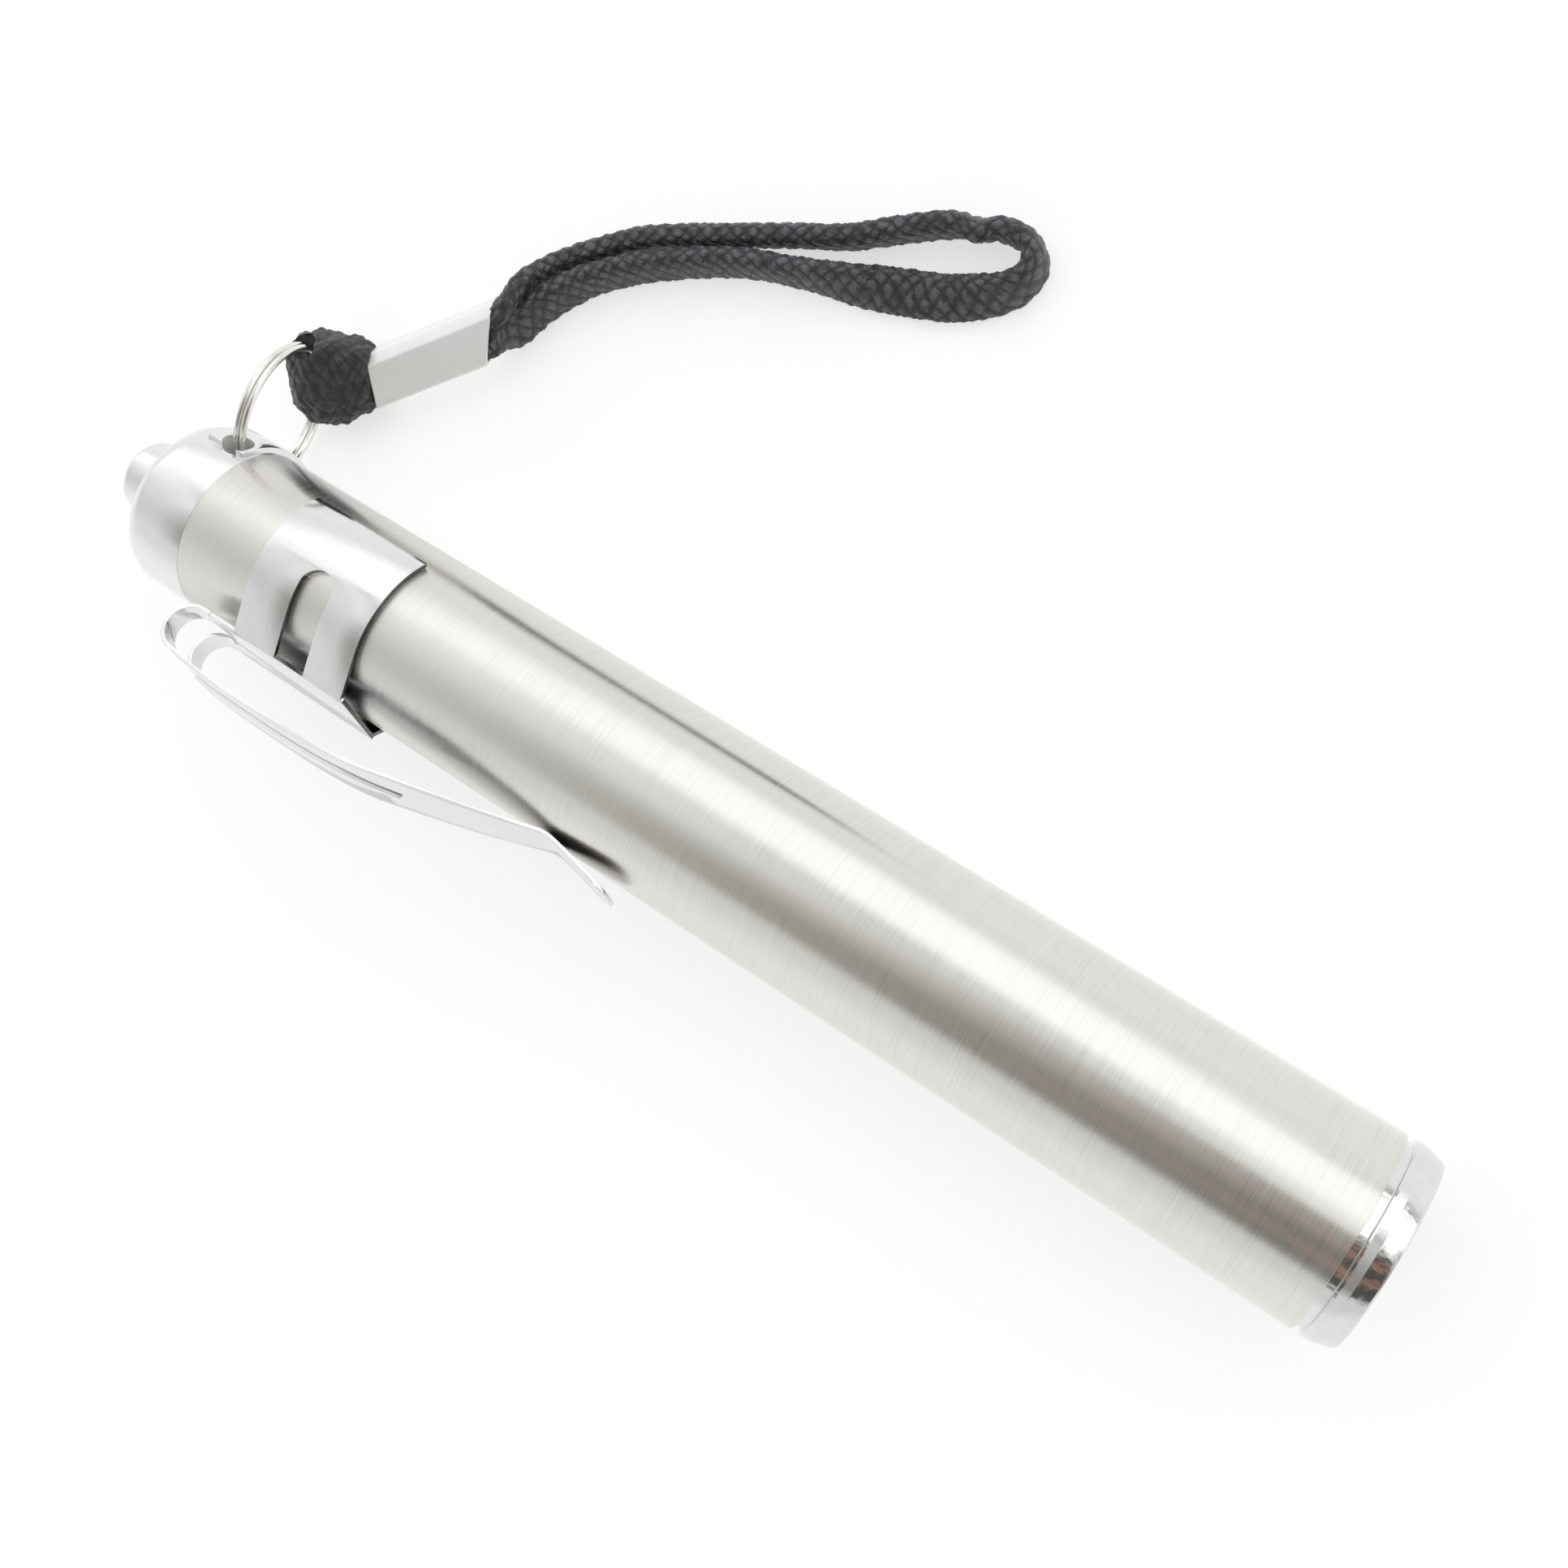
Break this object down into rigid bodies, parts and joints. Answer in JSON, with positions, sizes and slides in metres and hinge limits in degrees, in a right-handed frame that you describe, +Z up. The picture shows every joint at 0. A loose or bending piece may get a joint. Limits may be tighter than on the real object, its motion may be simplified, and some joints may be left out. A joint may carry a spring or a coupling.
{
  "type": "pocket torch",
  "caption": "Slim metal pocket torch with a rear push button, a spring pocket clip, and a wrist strap on a split ring.",
  "frame": {"origin": "centre of the front rim's plane, on the barrel's axis", "axes": "+X along the barrel in the beam's direction, +Z up from the surface it lies on; the clip points towards -Y and up, the strap lies towards +Y"},
  "size_m": [0.1176, 0.0636, 0.0166],
  "materials": {
    "brushed_barrel": "brushed round the barrel",
    "chrome": "polished",
    "clip_steel": "polished sheet",
    "crimp_metal": "bright pressed steel",
    "ring_wire": "drawn wire",
    "strap_cord": "braided charcoal cord",
    "clear_lens": "clear",
    "black_rubber": "matte",
    "reflector_mirror": "bright",
    "led_resin": "clear resin",
    "board_laminate": "matte",
    "contact_brass": "plain",
    "spring_steel": "plain wire",
    "sleeve_plastic": "matte",
    "cell_jacket": "printed film, plain"
  },
  "bodies": {
    "barrel": {"barrel": "brushed_barrel", "bezel": "chrome", "lens": "clear_lens", "lens_gasket": "black_rubber", "reflector": "reflector_mirror", "led": "led_resin", "led_board": "board_laminate", "front_contact": "contact_brass", "battery_sleeve": "sleeve_plastic", "cell_front": "cell_jacket", "cell_rear": "cell_jacket"},
    "seal": {"o_ring": "black_rubber"},
    "tail_cap": {"tail_cap": "chrome", "switch_body": "sleeve_plastic", "switch_contact": "contact_brass", "battery_spring": "spring_steel", "button_spring": "spring_steel"},
    "button": {"push_button": "chrome", "stem_clip": "spring_steel"},
    "clip": {"clip_band": "clip_steel"},
    "clip_arm": {"clip_arm": "clip_steel"},
    "ring": {"split_ring": "ring_wire"},
    "strap": {"strap_wrap": "strap_cord", "crimp": "crimp_metal", "strap_loop": "strap_cord"}
  },
  "joints": [
    {"name": "tail_cap_out", "type": "slide", "parent": "barrel", "child": "seal", "axis": [-1, 0, 0], "range_m": [0, 0.0031]},
    {"name": "tail_cap_turn", "type": "hinge", "parent": "seal", "child": "tail_cap", "pos_m": [-0.1056, 0, 0], "axis": [-1, 0, 0], "range_deg": [0, 1440]},
    {"name": "button_press", "type": "slide", "parent": "tail_cap", "child": "button", "axis": [1, 0, 0], "range_m": [0, 0.0012], "stiffness_N_per_m": 1500, "springref_m": -0.0005, "deforming": ["button_spring"]},
    {"name": "clip_turn", "type": "hinge", "parent": "barrel", "child": "clip", "pos_m": [-0.1056, 0, 0], "axis": [1, 0, 0], "range_deg": [-90, 60]},
    {"name": "clip_arm_flex", "type": "hinge", "parent": "clip", "child": "clip_arm", "pos_m": [-0.1004, -0.00717, 0.0035], "axis": [0, -0.4384, -0.8988], "range_deg": [0, 6], "stiffness_Nm_per_rad": 0.5, "springref_deg": -2.86},
    {"name": "ring_swing", "type": "hinge", "parent": "tail_cap", "child": "ring", "pos_m": [-0.1082, 0.00525, -0.00128], "axis": [0.1865, 0.018, 0.9823], "range_deg": [-7, 10]},
    {"name": "strap_swing", "type": "hinge", "parent": "ring", "child": "strap", "pos_m": [-0.10962, 0.016, -0.0033], "axis": [0.1425, 0.3573, 0.923], "range_deg": [-12, 12]}
  ],
  "couplings": [
    {"joint": "tail_cap_out", "follows": "tail_cap_turn", "m_per_rad": 0.00011937}
  ]
}
